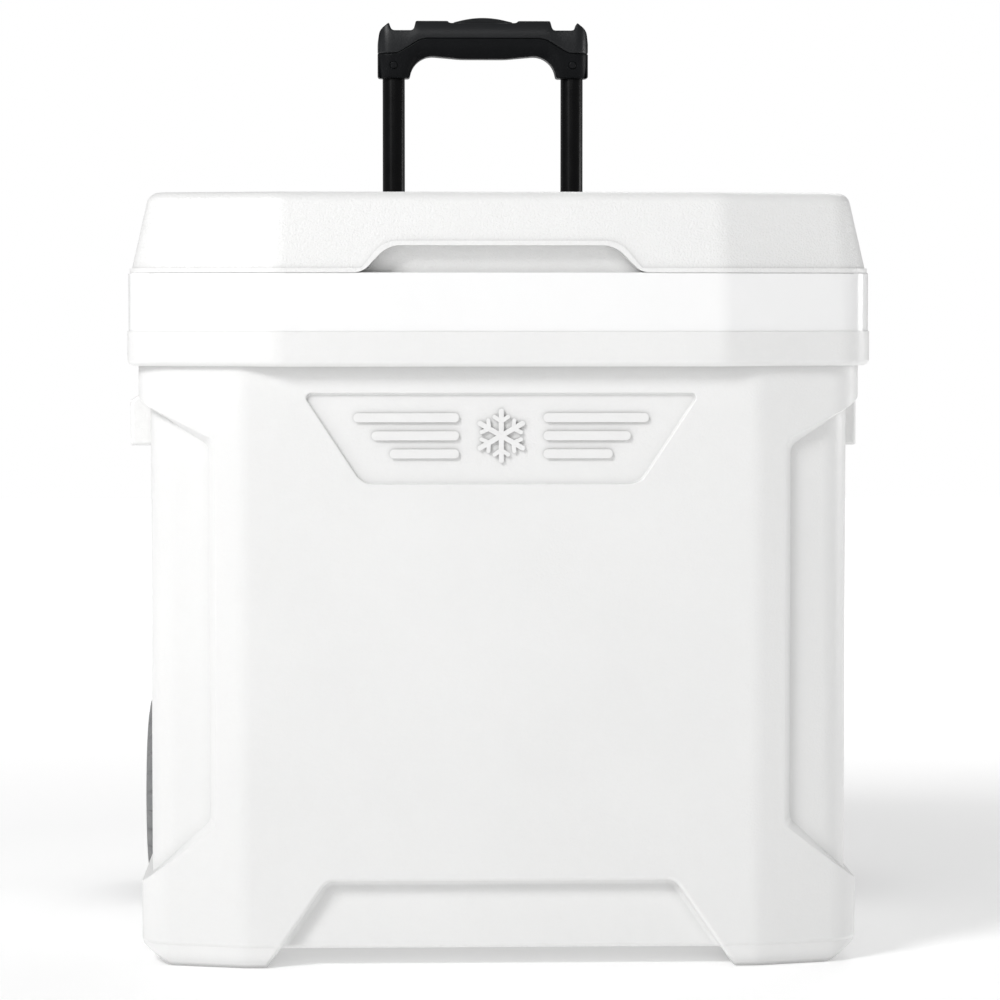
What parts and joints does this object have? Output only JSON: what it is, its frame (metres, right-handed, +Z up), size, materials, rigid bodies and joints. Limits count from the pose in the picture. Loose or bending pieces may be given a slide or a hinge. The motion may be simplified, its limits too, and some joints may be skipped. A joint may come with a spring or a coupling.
{
  "type": "wheeled cooler",
  "caption": "White insulated cooler with a hinged lid, two tyred wheels, moulded side grips and a telescoping pull handle at the back.",
  "frame": {"origin": "on the ground, under the middle of the bounding box", "axes": "+Z up, -Y is the front with the finger notch, +X to the right seen from the front"},
  "size_m": [0.512, 0.46, 0.6596],
  "materials": {
    "shell_white": "matte",
    "liner_white": "gloss",
    "lid_white": "matte",
    "foam": "matte",
    "hinge_white": "satin",
    "steel": "satin",
    "screw_steel": "satin",
    "tyre_grey": "matte",
    "hub_grey": "satin",
    "bush_nylon": "satin",
    "cap_black": "matte",
    "tube_black": "gloss",
    "grip_black": "matte",
    "grip_dark": "matte",
    "button_black": "satin",
    "rivet_black": "satin",
    "drain_white": "satin",
    "seal_rubber": "matte"
  },
  "bodies": {
    "body": {"outer_shell": "shell_white", "insulation_core": "foam", "inner_liner": "liner_white", "axle": "steel", "axle_sleeve": "steel", "axle_washer_left": "steel", "axle_washer_right": "steel", "axle_cap_left": "cap_black", "axle_cap_right": "cap_black", "guide_tube_left": "tube_black", "guide_tube_right": "tube_black", "guide_plug_left": "cap_black", "guide_plug_right": "cap_black", "handle_bezel": "cap_black", "tube_foot_bracket": "cap_black", "tube_clamp": "cap_black", "bracket_screws": "screw_steel", "hinge_body_leaf_left": "hinge_white", "hinge_body_leaf_right": "hinge_white", "hinge_body_screws": "screw_steel", "drain_body": "drain_white", "drain_gasket": "seal_rubber", "drain_nut": "drain_white"},
    "lid": {"lid_cover": "lid_white", "lid_foam": "foam", "lid_liner": "liner_white", "hinge_lid_leaf_left": "hinge_white", "hinge_lid_leaf_right": "hinge_white", "hinge_pin_left": "steel", "hinge_pin_right": "steel", "hinge_lid_screws": "screw_steel"},
    "wheel_left": {"wheel_tyre_left": "tyre_grey", "wheel_hub_left": "hub_grey", "wheel_bush_left": "bush_nylon"},
    "wheel_right": {"wheel_tyre_right": "tyre_grey", "wheel_hub_right": "hub_grey", "wheel_bush_right": "bush_nylon"},
    "handle_lower": {"middle_tube_left": "tube_black", "middle_tube_right": "tube_black", "middle_collar_left": "cap_black", "middle_collar_right": "cap_black"},
    "handle_upper": {"inner_tube_left": "tube_black", "inner_tube_right": "tube_black", "inner_glide_left": "cap_black", "inner_glide_right": "cap_black", "grip_body": "grip_black", "grip_underside": "grip_dark", "grip_screws": "rivet_black", "button_spring": "steel"},
    "release": {"release_button": "button_black", "push_yoke": "cap_black", "push_rod_left": "steel", "push_rod_right": "steel"},
    "lock_left": {"lock_pin_left": "steel"},
    "lock_right": {"lock_pin_right": "steel"},
    "drain_thread": {"drain_seal": "seal_rubber"},
    "drain_knob": {"drain_cap": "drain_white"}
  },
  "joints": [
    {"name": "lid_hinge", "type": "hinge", "parent": "body", "child": "lid", "pos_m": [0, 0.166, 0.507], "axis": [-1, 0, 0], "range_deg": [0, 90]},
    {"name": "wheel_left_spin", "type": "hinge", "parent": "body", "child": "wheel_left", "pos_m": [-0.23, 0.156, 0.074], "axis": [1, 0, 0], "continuous": true},
    {"name": "wheel_right_spin", "type": "hinge", "parent": "body", "child": "wheel_right", "pos_m": [0.23, 0.156, 0.074], "axis": [1, 0, 0], "continuous": true},
    {"name": "handle_lower_slide", "type": "slide", "parent": "body", "child": "handle_lower", "axis": [0, 0, 1], "range_m": [0, 0.22]},
    {"name": "handle_upper_slide", "type": "slide", "parent": "handle_lower", "child": "handle_upper", "axis": [0, 0, 1], "range_m": [-0.142, 0.16]},
    {"name": "button_press", "type": "slide", "parent": "handle_upper", "child": "release", "axis": [0, 0, -1], "range_m": [0, 0.004], "stiffness_N_per_m": 600, "springref_m": -0.006, "deforming": ["button_spring"]},
    {"name": "lock_left_slide", "type": "slide", "parent": "handle_upper", "child": "lock_left", "axis": [1, 0, 0], "range_m": [0, 0.0014]},
    {"name": "lock_right_slide", "type": "slide", "parent": "handle_upper", "child": "lock_right", "axis": [-1, 0, 0], "range_m": [0, 0.0014]},
    {"name": "drain_seal_travel", "type": "slide", "parent": "body", "child": "drain_thread", "axis": [1, 0, 0], "range_m": [0, 0.00375]},
    {"name": "drain_cap_turn", "type": "hinge", "parent": "drain_thread", "child": "drain_knob", "pos_m": [0.231, 0.01, 0.076], "axis": [1, 0, 0], "range_deg": [0, 451]}
  ],
  "couplings": [
    {"joint": "lock_left_slide", "follows": "button_press", "ratio": 0.3333},
    {"joint": "lock_right_slide", "follows": "button_press", "ratio": 0.3333},
    {"joint": "drain_cap_turn", "follows": "drain_seal_travel", "rad_per_m": 2094.4}
  ]
}
